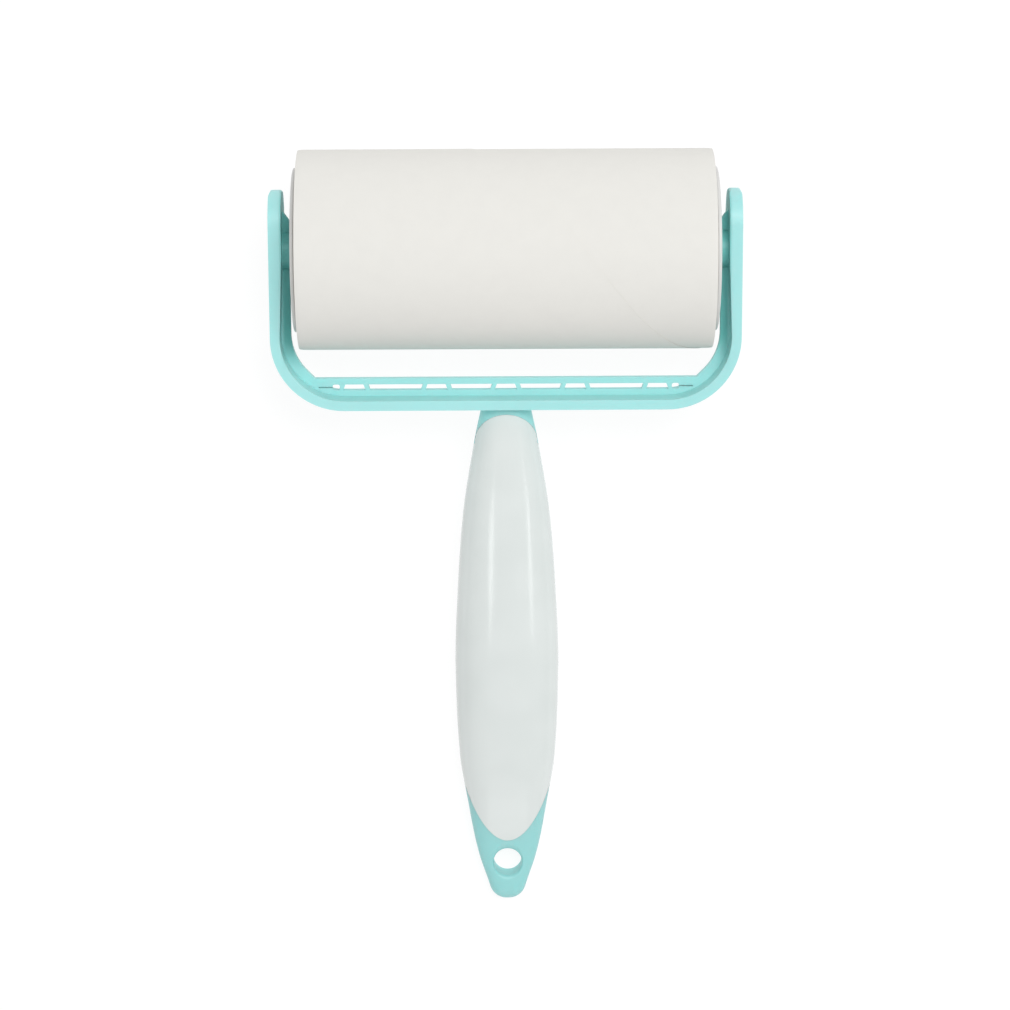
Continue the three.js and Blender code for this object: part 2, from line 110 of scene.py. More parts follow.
# %% [markdown]
# ## Tools for drawing
# A person draws an outline in edit mode by pulling one vertex along the straight runs and spinning it
# round the arcs, then fills it and pulls it up into a plate, or spins it into a round piece. The small
# class below does exactly that. The spin tool counts angles clockwise when it looks down its axis, so
# the class turns the sign round. Vertices closer together than two microns are welded into one.

# %% Outline pen
WELD = 0.002


def nothing_selected():
    if bpy.context.object and bpy.context.object.mode != "OBJECT":
        bpy.ops.object.mode_set(mode="OBJECT")
    bpy.ops.object.select_all(action="DESELECT")


def work_on(piece):
    nothing_selected()
    piece.select_set(True)
    bpy.context.view_layer.objects.active = piece


def edit_all(piece):
    work_on(piece)
    bpy.ops.object.mode_set(mode="EDIT")
    bpy.ops.mesh.select_mode(type="VERT")
    bpy.ops.mesh.select_all(action="SELECT")


def done_editing():
    bpy.ops.object.mode_set(mode="OBJECT")


class Pen:
    """Draws an outline with one vertex that is pulled along straight runs and spun round arcs."""

    def __init__(self, name, x, y):
        nothing_selected()
        bpy.ops.mesh.primitive_plane_add(size=1)
        self.piece = bpy.context.object
        self.piece.name = name
        self.at = (x, y)
        edit_all(self.piece)
        bpy.ops.mesh.merge(type="CENTER")
        bpy.ops.transform.translate(value=(x, y, 0))

    def line(self, x, y):
        step = (x - self.at[0], y - self.at[1], 0)
        bpy.ops.mesh.extrude_region_move(TRANSFORM_OT_translate={"value": step})
        self.at = (x, y)
        return self

    def run(self, places):
        for x, y in places:
            self.line(x, y)
        return self

    def arc(self, centre, degrees, steps):
        """Degrees are counted anticlockwise."""
        turn = math.radians(degrees)
        bpy.ops.mesh.spin(steps=steps, angle=-turn, center=(*centre, 0), axis=(0, 0, 1))
        x, y = self.at[0] - centre[0], self.at[1] - centre[1]
        cos, sin = math.cos(turn), math.sin(turn)
        self.at = (centre[0] + x * cos - y * sin, centre[1] + x * sin + y * cos)
        return self

    def fill(self):
        bpy.ops.mesh.select_all(action="SELECT")
        bpy.ops.mesh.remove_doubles(threshold=WELD)
        bpy.ops.mesh.edge_face_add()
        return self

    def plate(self, thickness):
        """A closed plate with the outline in its middle plane."""
        self.fill()
        bpy.ops.transform.translate(value=(0, 0, -thickness / 2))
        bpy.ops.mesh.extrude_region_move(TRANSFORM_OT_translate={"value": (0, 0, thickness)})
        return self.close()

    def turned(self, steps):
        """A round piece: the outline, drawn as x along the roll and y away from its axis, spun once."""
        bpy.ops.mesh.select_all(action="SELECT")
        bpy.ops.mesh.spin(steps=steps, angle=2 * math.pi, center=(0, 0, 0), axis=(1, 0, 0))
        bpy.ops.mesh.select_all(action="SELECT")
        bpy.ops.mesh.remove_doubles(threshold=WELD)
        return self.close()

    def close(self):
        bpy.ops.mesh.select_all(action="SELECT")
        bpy.ops.mesh.normals_make_consistent(inside=False)
        done_editing()
        return self.piece


# %% [markdown]
# ## Tools for shaping
# A block is a cube primitive at its size and place. Modifiers are added and applied at once, so that a
# finished piece is plain mesh. Booleans join and cut, and a bevel with an angle limit rounds only the
# edges that a mould would round. The normals are then weighted, so that flat faces stay flat in light.

# %% Blocks, bars and modifiers
def block(name, low, high):
    """A box between two corners, in millimetres."""
    nothing_selected()
    low, high = Vector(low), Vector(high)
    bpy.ops.mesh.primitive_cube_add(size=1, location=(low + high) / 2, scale=high - low)
    bpy.ops.object.transform_apply(location=True, rotation=True, scale=True)
    bpy.context.object.name = name
    return bpy.context.object


def bar(name, radius, start, end, vertices=64):
    """A round bar between two places, in millimetres."""
    nothing_selected()
    start, end = Vector(start), Vector(end)
    turn = (end - start).to_track_quat("Z", "Y").to_euler()
    bpy.ops.mesh.primitive_cylinder_add(
        vertices=vertices, radius=radius, depth=(end - start).length,
        location=(start + end) / 2, rotation=turn,
    )
    bpy.ops.object.transform_apply(location=True, rotation=True, scale=True)
    bpy.context.object.name = name
    return bpy.context.object


def modify(piece, kind, **settings):
    work_on(piece)
    modifier = piece.modifiers.new(kind.lower(), kind)
    for setting, value in settings.items():
        setattr(modifier, setting, value)
    bpy.ops.object.modifier_apply(modifier=modifier.name)
    return piece


def combine(piece, tool, operation):
    modify(piece, "BOOLEAN", object=tool, operation=operation, solver="EXACT")
    bpy.data.objects.remove(tool)
    return piece


def cut(piece, tool):
    return combine(piece, tool, "DIFFERENCE")


def add(piece, tool):
    return combine(piece, tool, "UNION")


def soften(piece, width, segments=3, angle=35):
    """Rounds every edge sharper than the angle, as the corner of a mould does."""
    return modify(
        piece, "BEVEL", width=width, segments=segments, limit_method="ANGLE",
        angle_limit=math.radians(angle), use_clamp_overlap=True,
    )


def weld(piece):
    """Joins the vertices that booleans leave doubled, and removes the edges without length."""
    edit_all(piece)
    bpy.ops.mesh.remove_doubles(threshold=WELD)
    bpy.ops.mesh.dissolve_degenerate(threshold=WELD)
    done_editing()
    return piece


def smooth(piece, angle=32):
    work_on(piece)
    bpy.ops.object.shade_smooth_by_angle(angle=math.radians(angle))
    return piece


def even_out(piece):
    """Weights the normals by face area, so that flat faces look flat beside their rounded edges."""
    return modify(piece, "WEIGHTED_NORMAL", keep_sharp=True)


def copy_of(piece, name):
    twin = piece.copy()
    twin.data = piece.data.copy()
    twin.name = name
    bpy.context.scene.collection.objects.link(twin)
    return twin


def lay_down(piece, body, node):
    """Takes a finished piece from the bench to its place in the frame."""
    nothing_selected()
    piece.data.transform(BENCH)
    piece.data.update()
    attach(piece, body)
    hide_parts(node)
    triangles = sum(len(face.vertices) - 2 for face in piece.data.polygons)
    print(f"{piece.name}: {triangles} triangles, stands for {node}")
    return piece


# %% [markdown]
# ## Values that flow through a material
# A finish is easier to read as sums than as boxes and wires. `Flow` wraps the output of a node and
# overloads the operators, so that `0.4 + 0.1 * grain` adds its own Math nodes. `Finish` holds one
# material: its Principled shader, a method for any other node, and one for each thing that varies.

# %% Flow and Finish
class Flow:
    """A value that changes over a surface, so that it can be used in a sum."""

    def __init__(self, finish, socket):
        self.finish = finish
        self.socket = socket

    def maths(self, operation, first, second=0.0):
        return self.finish.node("ShaderNodeMath", {"operation": operation}, {0: first, 1: second})

    def __add__(self, other):
        return self.maths("ADD", self, other)

    def __sub__(self, other):
        return self.maths("SUBTRACT", self, other)

    def __rsub__(self, other):
        return self.maths("SUBTRACT", other, self)

    def __mul__(self, other):
        return self.maths("MULTIPLY", self, other)

    def __pow__(self, other):
        return self.maths("POWER", self, other)

    __radd__ = __add__
    __rmul__ = __mul__

    def sine(self):
        return self.maths("SINE", self)

    def between(self, low, high):
        """0 below low, 1 above high, smooth in between."""
        return self.finish.node(
            "ShaderNodeMapRange", {"interpolation_type": "SMOOTHSTEP"},
            {"Value": self, "From Min": low, "From Max": high},
        )


class Finish:
    """One material: a Principled shader and whatever is fed to it."""

    def __init__(self, name, colour, roughness, **constants):
        self.material = bpy.data.materials.new(name)
        self.material.use_nodes = True
        self.tree = self.material.node_tree
        self.shader = self.tree.nodes["Principled BSDF"]
        self.shader.inputs["Base Color"].default_value = (*colour, 1)
        self.shader.inputs["Roughness"].default_value = roughness
        for socket, value in constants.items():
            self.shader.inputs[socket.replace("_", " ")].default_value = value
        self.place = self.node("ShaderNodeTexCoord", output="Object")

    def node(self, kind, settings=None, inputs=None, output=0):
        made = self.tree.nodes.new(kind)
        for setting, value in (settings or {}).items():
            setattr(made, setting, value)
        for socket, value in (inputs or {}).items():
            self.give(made.inputs[socket], value)
        return Flow(self, made.outputs[output])

    def give(self, socket, value):
        if isinstance(value, Flow):
            self.tree.links.new(value.socket, socket)
        else:
            socket.default_value = value

    def bench(self):
        """The place on the surface in millimetres on the bench, whatever way the piece lies."""
        back = BENCH.inverted()
        return self.node("ShaderNodeMapping", {"vector_type": "POINT"}, {
            "Vector": self.place,
            "Location": back.to_translation(),
            "Rotation": back.to_euler(),
            "Scale": back.to_scale(),
        })

    def parts(self, vector):
        """x, y and z of a vector, as three values."""
        split = self.node("ShaderNodeSeparateXYZ", {}, {0: vector}).socket.node
        return [Flow(self, split.outputs[i]) for i in range(3)]

    def noise(self, vector, scale, detail=2.0, roughness=0.5, stretch=(1, 1, 1)):
        """Cloudy noise, with scale counted in specks per millimetre on the bench."""
        if stretch != (1, 1, 1):
            stretching = {0: vector, 1: stretch}
            vector = self.node("ShaderNodeVectorMath", {"operation": "MULTIPLY"}, stretching)
        return self.node("ShaderNodeTexNoise", {}, {
            "Vector": vector, "Scale": scale, "Detail": detail, "Roughness": roughness,
        })

    def blend(self, factor, first, second):
        """One colour passing into another as the factor goes from 0 to 1."""
        mixed = self.node("ShaderNodeMix", {"data_type": "RGBA"}, {"Factor": factor}, output="Result")
        mix = mixed.socket.node
        ends = [socket for socket in mix.inputs if socket.type == "RGBA"]
        for socket, value in zip(ends, (first, second)):
            self.give(socket, value if isinstance(value, Flow) else (*value, 1))
        result = [socket for socket in mix.outputs if socket.type == "RGBA"][0]
        return Flow(self, result)

    def feed(self, socket, flow):
        self.give(self.shader.inputs[socket], flow)

    def bump(self, height, depth_mm, strength=1.0):
        """Raises the surface by a height that goes from 0 to 1, as deep as it says."""
        normal = self.node("ShaderNodeBump", {}, {
            "Height": height, "Distance": depth_mm * MM, "Strength": strength,
        })
        self.feed("Normal", normal)

    def on(self, piece):
        piece.data.materials.clear()
        piece.data.materials.append(self.material)
        return piece


# %% [markdown]
# ## Mint plastic
# The yoke and the handle's core are satin polypropylene in a pale mint. A fine spark-eroded grain keeps
# its highlights broad, and slow clouds of slightly more pigment stop it looking like paint. The plastic
# lets a little light in. Shade and light are also painted into its colour: on the yoke a darker mint in
# the narrow gap beside the roll is painted shade, and on the core a lighter mint at the neck is painted
# light against the crossbar's shadow, passing into a darker mint towards the tip that is painted shade.
# One function makes both finishes, and each gets its own second colour and its own rule for where that
# colour shows.

# %% Mint plastic
MINT = (0.40, 0.775, 0.77)
# Painted shade: this darker mint stands for the shade in the gap between the roll's ends and the arms.
GAP_PAINTED_SHADE_MINT = (0.17, 0.57, 0.54)
# Painted light at the core's neck, against the crossbar's shadow, and painted shade at its tip.
NECK_PAINTED_LIGHT_MINT = (0.37, 0.81, 0.795)
TIP_PAINTED_SHADE_MINT = (0.33, 0.69, 0.685)
CLOUD = (0.2, 0.5, 0.5)
GAP_SIDE = (53.4, 54.4)
GAP_LENGTH = (-29, -20)
HANDLE_LENGTH = (-140, -46)


def mint_plastic(name, colour, other, share):
    finish = Finish(
        name, colour, 0.42, Subsurface_Weight=0.25, Subsurface_Scale=0.003,
        Subsurface_Radius=(0.4, 1.0, 0.95),
    )
    place = finish.bench()
    x, y, _ = finish.parts(place)
    clouds = finish.noise(place, scale=0.05, detail=3)
    grain = finish.noise(place, scale=3.5, detail=3, roughness=0.6)
    # The blend lays the second colour, which is painted shade, where the rule says; on the core the first
    # colour is painted light.
    plastic = finish.blend(share(x, y), colour, other)
    finish.feed("Base Color", finish.blend(0.06 * clouds.between(0.35, 0.7), plastic, CLOUD))
    finish.feed("Roughness", 0.36 + 0.12 * grain + 0.04 * clouds)
    finish.bump(grain, 0.012, 0.5)
    return finish


# Where the gap's painted shade shows: beside the roll's ends, around the axles' height.
def painted_gap_shade(x, y):
    return (1 - ((x * x) ** 0.5).between(*GAP_SIDE)) * y.between(*GAP_LENGTH)


# Where the painted light at the core's neck passes into the painted shade towards its tip.
def painted_neck_light_to_tip_shade(x, y):
    return 1 - y.between(*HANDLE_LENGTH)


# The yoke's mint carries painted shade beside the roll; the core's mint carries painted light at the neck
# and painted shade towards the tip.
mint = mint_plastic("satin_mint", MINT, GAP_PAINTED_SHADE_MINT, painted_gap_shade)
core_mint_painted_light_and_shade = mint_plastic("satin_mint_core", NECK_PAINTED_LIGHT_MINT, TIP_PAINTED_SHADE_MINT, painted_neck_light_to_tip_shade)
print("made", mint.material.name, core_mint_painted_light_and_shade.material.name)

# %% [markdown]
# ## Glossy white plastic
# The two shells of the casing are polished, so they mirror the lamps in two long streaks. A polished
# moulding is never quite flat: a very slow ripple bends the streaks a little, and faint rubbing marks
# along the handle make them soft at their edges.

# %% Glossy white plastic
SHELL_WHITE = (0.745, 0.788, 0.774)
SHELL_SHADE = (0.72, 0.765, 0.75)


def glossy_white():
    finish = Finish("glossy_white", SHELL_WHITE, 0.16, IOR=1.5)
    place = finish.bench()
    ripple = finish.noise(place, scale=0.09, detail=1)
    rubbing = finish.noise(place, scale=1.2, detail=4, roughness=0.65, stretch=(1, 0.12, 1))
    finish.feed("Base Color", finish.blend(ripple.between(0.3, 0.7), SHELL_WHITE, SHELL_SHADE))
    finish.feed("Roughness", 0.13 + 0.08 * rubbing)
    finish.bump(ripple, 0.05, 0.35)
    return finish


shell_white = glossy_white()
print("made", shell_white.material.name)

# %% [markdown]
# ## Paper
# The exposed sheet is coated paper with its fibres just showing. Its outer turn is cut on a slant, and
# the cut edge is real geometry, so the material only has to bring the fibres, a slight mottle and the
# warm white. The wound ends of the roll show the turns as fine rings, some darker than others.

# %% Paper finishes
PAPER = (0.80, 0.79, 0.752)
PAPER_GREY = (0.787, 0.777, 0.74)
TURN_DARK = (0.6, 0.585, 0.54)
TURN_PITCH = 0.16


def sheet_paper():
    finish = Finish("coated_paper", PAPER, 0.85, Specular_IOR_Level=0.25)
    place = finish.bench()
    mottle = finish.noise(place, scale=0.22, detail=5, roughness=0.65)
    fibres = finish.noise(place, scale=2.4, detail=5, roughness=0.7, stretch=(0.35, 1, 1))
    finish.feed("Base Color", finish.blend(mottle.between(0.3, 0.75), PAPER, PAPER_GREY))
    finish.feed("Roughness", 0.78 + 0.14 * fibres)
    finish.bump(fibres * 0.7 + mottle * 0.3, 0.03, 0.45)
    return finish


def wound_paper_ends():
    finish = Finish("wound_paper", PAPER_GREY, 0.9, Specular_IOR_Level=0.2)
    place = finish.bench()
    _, y, z = finish.parts(place)
    radius = (y * y + z * z) ** 0.5
    unevenness = finish.noise(place, scale=0.4, detail=3)
    rings = 0.5 + 0.5 * ((radius + 0.06 * unevenness) * (2 * math.pi / TURN_PITCH)).sine()
    only_radius = finish.node("ShaderNodeCombineXYZ", {}, {0: radius})
    bands = finish.noise(only_radius, scale=2.2, detail=3)
    shade = (0.55 * rings + 0.45 * bands).between(0.15, 0.75)
    finish.feed("Base Color", finish.blend(shade, TURN_DARK, PAPER_GREY))
    finish.bump(rings * 0.5 + bands, 0.08, 0.6)
    return finish


sheet_finish = sheet_paper()
wound_finish = wound_paper_ends()
print("made", sheet_finish.material.name, wound_finish.material.name)

# %% [markdown]
# ## Hubs, board and screws
# The hubs are a plain off-white plastic with a fine grain, the refill's core is flecked grey-brown
# board, and the screws are zinc-plated steel with tiny scratches.

# %% Hub, board and zinc
HUB_WHITE = (0.74, 0.74, 0.73)
HUB_SHADE = tuple(0.94 * channel for channel in HUB_WHITE)
BOARD = (0.42, 0.3, 0.185)
BOARD_PALE = (0.55, 0.42, 0.28)
ZINC = (0.6, 0.61, 0.62)


def hub_plastic():
    finish = Finish("hub_white", HUB_WHITE, 0.4)
    place = finish.bench()
    grain = finish.noise(place, scale=3.0, detail=3)
    clouds = finish.noise(place, scale=0.12, detail=2)
    finish.feed("Base Color", finish.blend(clouds, HUB_WHITE, HUB_SHADE))
    finish.feed("Roughness", 0.34 + 0.14 * grain)
    finish.bump(grain, 0.01, 0.5)
    return finish


def wound_board():
    finish = Finish("wound_board", BOARD, 0.92, Specular_IOR_Level=0.2)
    place = finish.bench()
    flecks = finish.noise(place, scale=1.6, detail=6, roughness=0.75, stretch=(0.4, 1, 1))
    finish.feed("Base Color", finish.blend(flecks.between(0.35, 0.7), BOARD, BOARD_PALE))
    finish.bump(flecks, 0.08, 0.6)
    return finish


def zinc_plate():
    finish = Finish("zinc_plate", ZINC, 0.35, Metallic=1.0)
    place = finish.bench()
    scratches = finish.noise(place, scale=5.0, detail=5, roughness=0.7, stretch=(1, 0.15, 1))
    finish.feed("Roughness", 0.25 + 0.25 * scratches)
    finish.bump(scratches, 0.01, 0.4)
    return finish


hub_finish = hub_plastic()
board_finish = wound_board()
zinc_finish = zinc_plate()
print("made", hub_finish.material.name, board_finish.material.name, zinc_finish.material.name)

# %% [markdown]
# ## The yoke
# The yoke is one moulding with a T-shaped section: a wide outer band, and a thinner wall inside it. The
# wall ends in a slant near the top of each arm, follows the corners, and between them becomes a small
# truss with openings right through it. The outline of each is drawn with the pen. The band is drawn too
# deep at first, and an intersection with its side view gives the arms their half-round ends. The wall's
# root is hidden in the band, and a boolean makes the two one piece.

# %% Sizes of the yoke
HALF_WIDTH = node_size("yoke_frame").x / 2
BAND_DEPTH = 16
ARM_TOP = 14.6
ARM_CORNER = 1.1
ARM_WALL = 3.1
BAND_EDGE = 1.0
WALL_EDGE = 0.22
CORNER_STEPS, TOP_STEPS, END_STEPS = 24, 6, 48
SPARE = 1
THROUGH = 30
UNDERSIDE = -38.1
BAR_WALL = 2.35
CORNER = 17.7
WALL = 2
WALL_SPAN = 52.1
WALL_TOP = 9.5
WALL_CHAMFER = 2.2
TRUSS_TOP = -31.4
TOP_BAR = 1.5
OPENING = 1.4
corner_x, corner_y = HALF_WIDTH - CORNER, UNDERSIDE + CORNER
print(f"yoke {2 * HALF_WIDTH:.1f} mm wide, corners centred {corner_x:.1f} mm to each side")


# %% Outer band
def outer_band():
    inner = HALF_WIDTH - ARM_WALL
    inner_radius = CORNER - BAR_WALL
    low_corner = ARM_TOP - ARM_CORNER
    outside, inside = HALF_WIDTH - ARM_CORNER, inner + ARM_CORNER
    pen = Pen("yoke_moulding", -HALF_WIDTH, low_corner)
    pen.line(-HALF_WIDTH, corner_y).arc((-corner_x, corner_y), 90, CORNER_STEPS)
    pen.line(corner_x, UNDERSIDE).arc((corner_x, corner_y), 90, CORNER_STEPS)
    pen.line(HALF_WIDTH, low_corner).arc((outside, low_corner), 90, TOP_STEPS)
    pen.line(inside, ARM_TOP).arc((inside, low_corner), 90, TOP_STEPS).line(inner, 0)
    pen.line(corner_x + inner_radius, corner_y).arc((corner_x, corner_y), -90, CORNER_STEPS)
    pen.line(-corner_x, corner_y - inner_radius).arc((-corner_x, corner_y), -90, CORNER_STEPS)
    pen.line(-inner, 0).line(-inner, low_corner).arc((-inside, low_corner), 90, TOP_STEPS)
    pen.line(-outside, ARM_TOP).arc((-outside, low_corner), 90, TOP_STEPS)
    return pen.plate(BAND_DEPTH + 2 * SPARE)


def round_arm_ends(piece):
    """Keeps what lies inside the side view, in which each arm ends in a half circle."""
    half = BAND_DEPTH / 2
    end = ARM_TOP - half
    pen = Pen("side_view", UNDERSIDE - SPARE, -half)
    pen.line(end, -half).arc((end, 0), 180, END_STEPS).line(UNDERSIDE - SPARE, half)
    side_view = pen.plate(2 * (HALF_WIDTH + SPARE))
    work_on(side_view)
    side_view.rotation_euler = (math.radians(90), 0, math.radians(90))
    bpy.ops.object.transform_apply(location=True, rotation=True, scale=True)
    return combine(piece, side_view, "INTERSECT")


yoke = soften(round_arm_ends(outer_band()), BAND_EDGE, 4, 50)
print("band", len(yoke.data.polygons), "faces")


# %% Inner wall
def inner_wall():
    hidden = CORNER - BAR_WALL / 2
    root = HALF_WIDTH - BAR_WALL / 2
    reach = WALL_SPAN - corner_x
    pen = Pen("inner_wall", -root, WALL_TOP)
    pen.line(-root, corner_y).arc((-corner_x, corner_y), 90, CORNER_STEPS)
    pen.line(corner_x, corner_y - hidden).arc((corner_x, corner_y), 90, CORNER_STEPS)
    pen.line(root, WALL_TOP).line(HALF_WIDTH - ARM_WALL, WALL_TOP)
    pen.line(WALL_SPAN, WALL_TOP - WALL_CHAMFER).line(WALL_SPAN, corner_y)
    pen.arc((corner_x, corner_y), -45, CORNER_STEPS // 2)
    bend_x, bend_y = pen.at
    bar_end = bend_x - (bend_y - TRUSS_TOP)
    pen.line(bar_end, TRUSS_TOP).line(-bar_end, TRUSS_TOP).line(-bend_x, bend_y)
    pen.arc((-corner_x, corner_y), -45, CORNER_STEPS // 2)
    pen.line(-WALL_SPAN, WALL_TOP - WALL_CHAMFER).line(-HALF_WIDTH + ARM_WALL, WALL_TOP)
    pen.line(-root, WALL_TOP)
    return pen.plate(WALL)


wall = inner_wall()
print("wall", len(wall.data.polygons), "faces")

# %% [markdown]
# ## The openings of the truss
# The struts stand in leaning pairs. The opening inside a pair is wider at its foot, and the long opening
# between two pairs is wider at its top. At each end a small round eye runs out into a thin slit. Each
# opening is a little plate that cuts through the wall.

# %% Truss openings
PAIRS = [-36.9, -16.9, 0, 16.9, 36.9]
SPREAD = 3
STRUT = 1.1
LEAN = 0.5
EYE_END, EYE_CORNER = 42.2, 0.45
SLIT_START, SLIT_END = EYE_END - 0.6, 45.6
SLIT_HALF = 0.18


def slanted_opening(left, right, widen_at_foot):
    top = TRUSS_TOP - TOP_BAR
    foot = top - OPENING
    lean = LEAN / 2 * (1 if widen_at_foot else -1)
    pen = Pen("opening", left - lean, foot)
    pen.line(right + lean, foot).line(right - lean, top).line(left + lean, top).line(left - lean, foot)
    return pen.plate(3 * WALL)


def cut_truss(piece):
    inside, beyond = SPREAD - STRUT / 2, SPREAD + STRUT / 2
    for centre in PAIRS:
        cut(piece, slanted_opening(centre - inside, centre + inside, True))
    for centre, following in zip(PAIRS, PAIRS[1:]):
        cut(piece, slanted_opening(centre + beyond, following - beyond, False))
    middle = TRUSS_TOP - TOP_BAR - OPENING / 2
    for side in (-1, 1):
        near, far = sorted((side * (PAIRS[-1] + beyond), side * EYE_END))
        eye = block("eye", (near, middle - OPENING / 2, -WALL), (far, middle + OPENING / 2, WALL))
        cut(piece, soften(eye, EYE_CORNER, 3))
        near, far = sorted((side * SLIT_START, side * SLIT_END))
        cut(piece, block("slit", (near, middle - SLIT_HALF, -WALL), (far, middle + SLIT_HALF, WALL)))


cut_truss(wall)
soften(wall, WALL_EDGE, 2, 40)
add(yoke, wall)
print("yoke with truss", len(yoke.data.polygons), "faces")

# %% [markdown]
# ## Axles and tang
# A stub axle on a low boss stands on the inner side of each arm, and the roll's hubs turn on them. A
# flat tang under the crossbar goes down into the handle, where a screw passes through it.

# %% Axles, bosses and tang
AXLE_RADIUS, AXLE_END, AXLE_EDGE = 3.5, 40, 0.5
BOSS_RADIUS, BOSS_END, BOSS_EDGE = 4.6, 51.5, 0.2
ROOT_DEPTH = 1.5
TANG = (3, 20, 2)
TANG_EDGE = 0.3
SCREW_HOLE = 1.8
HOLE_SIDES = 32
UPPER_SCREW_Y = -52
LOWER_SCREW_Y = -133.4

for side in (-1, 1):
    root = (side * (HALF_WIDTH - ROOT_DEPTH), 0, 0)
    add(yoke, soften(bar("boss", BOSS_RADIUS, root, (side * BOSS_END, 0, 0)), BOSS_EDGE, 2))
    add(yoke, soften(bar("axle", AXLE_RADIUS, root, (side * AXLE_END, 0, 0)), AXLE_EDGE, 3))
tang = block(
    "tang", (-TANG[0], UNDERSIDE - TANG[1], -TANG[2]), (TANG[0], UNDERSIDE + SPARE, TANG[2]),
)
drill_ends = (0, UPPER_SCREW_Y, -THROUGH), (0, UPPER_SCREW_Y, THROUGH)
drill = bar("drill", SCREW_HOLE, *drill_ends, HOLE_SIDES)
add(yoke, soften(cut(tang, drill), TANG_EDGE, 2))
even_out(smooth(weld(yoke)))
mint.on(yoke)
lay_down(yoke, "handle_and_yoke", "yoke_frame")

# %% [markdown]
# ## The form of the handle
# The handle is drawn as a person lofts a grip: a circle at the neck is pulled down the handle ring by
# ring, and each ring is fitted to the width and depth of its station. A smooth curve fills in between
# the stations, and the nose closes round. The same form, drawn smaller, hollows the casing.

# %% Handle stations and rings
NECK_GAP = 0.3
HANDLE_TOP = UNDERSIDE - NECK_GAP
STATIONS = [
    (0, 5.95, 5.4), (8.6, 7.75, 6.4), (27.5, 10.75, 8.1), (54.2, 12.55, 9.2), (68, 12.8, 9.0),
    (89.2, 11.85, 7.5), (101.1, 9.9, 5.6), (110, 8.34, 3.85), (116, 6.93, 3.3), (121.2, 5.2, 3.25),
    (123.6, 4.45, 3.2),
]
STEPS_BETWEEN = 5
NOSE_STEPS = 10
NOSE_TURNS = (17.4, 80)
TAB_DEPTH = 3.15
TAB_START = 113
OVAL_END = 85
OVAL_POWER, SQUARER = 2.25, 0.5
LEAST_HALF = 0.3


def eased(share, gap, start, end, slope_in, slope_out):
    """A smooth curve from start to end that leaves and arrives with the given slopes."""
    return (
        (2 * share ** 3 - 3 * share ** 2 + 1) * start
        + (share ** 3 - 2 * share ** 2 + share) * gap * slope_in
        + (3 * share ** 2 - 2 * share ** 3) * end
        + (share ** 3 - share ** 2) * gap * slope_out
    )


def handle_rings():
    """(distance down the handle, half width, half depth) for each ring."""
    rings = []
    padded = [STATIONS[0], *STATIONS, STATIONS[-1]]
    for before, start, end, after in zip(padded, padded[1:], padded[2:], padded[3:]):
        gap = end[0] - start[0]
        for step in range(STEPS_BETWEEN):
            share = step / STEPS_BETWEEN
            sizes = []
            for k in (1, 2):
                slope_in = (end[k] - before[k]) / (end[0] - before[0])
                slope_out = (after[k] - start[k]) / (after[0] - start[0])
                sizes.append(eased(share, gap, start[k], end[k], slope_in, slope_out))
            rings.append((start[0] + share * gap, *sizes))
    along, width, depth = STATIONS[-1]
    first, last = (math.radians(turn) for turn in NOSE_TURNS)
    radius = width / math.cos(first)
    centre = along - radius * math.sin(first)
    for step in range(NOSE_STEPS + 1):
        turn = first + (last - first) * step / NOSE_STEPS
        here = centre + radius * math.sin(turn)
        past = max(0.0, here - (centre + radius - depth))
        rings.append((here, radius * math.cos(turn), math.sqrt(depth ** 2 - past ** 2)))
    return rings


def half_depth(distance):
    """How far the handle's surface stands from its middle plane, along its centre line."""
    rings = handle_rings()
    for (a, _, shallow), (b, _, deep) in zip(rings, rings[1:]):
        if a <= distance <= b:
            return shallow + (deep - shallow) * (distance - a) / (b - a)
    return TAB_DEPTH


def on_section(share, along, half_width, half_thickness):
    """A place on a section: an oval on the grip, with squarer corners towards the flat tab."""
    flat = min(1.0, max(0.0, (along - OVAL_END) / (TAB_START - OVAL_END)))
    power = 2 / (OVAL_POWER + SQUARER * flat * flat * (3 - 2 * flat))
    cos, sin = math.cos(2 * math.pi * share), math.sin(2 * math.pi * share)
    x = half_width * math.copysign(abs(cos) ** power, cos)
    z = half_thickness * math.copysign(abs(sin) ** power, sin)
    return Vector((x, HANDLE_TOP - along, z))


# %% Handle form
def handle_form(name, inset=0.0, sides=64):
    """Pulls a ring down the handle with extrude, and fits each new ring to its section."""
    nothing_selected()
    bpy.ops.mesh.primitive_circle_add(
        vertices=sides, radius=1, fill_type="NGON", rotation=(math.radians(90), 0, 0),
    )
    bpy.ops.object.transform_apply(location=True, rotation=True, scale=True)
    piece = bpy.context.object
    piece.name = name
    edit_all(piece)
    for index, (along, width, depth) in enumerate(handle_rings()):
        if index:
            bpy.ops.mesh.extrude_region_move(TRANSFORM_OT_translate={"value": (0, 0, 0)})
        mesh = bmesh.from_edit_mesh(piece.data)
        ring = [vertex for vertex in mesh.verts if vertex.select]
        ring.sort(key=lambda vertex: math.atan2(vertex.co.z, vertex.co.x) % (2 * math.pi))
        for k, vertex in enumerate(ring):
            size = max(width - inset, LEAST_HALF), max(depth - inset, LEAST_HALF)
            vertex.co = on_section((k + 0.5) / sides, along, *size)
        bmesh.update_edit_mesh(piece.data)
    bpy.ops.mesh.select_all(action="SELECT")
    bpy.ops.mesh.normals_make_consistent(inside=False)
    done_editing()
    return piece


print(len(handle_rings()), "rings, half depth at the belly", round(half_depth(60), 2), "mm")

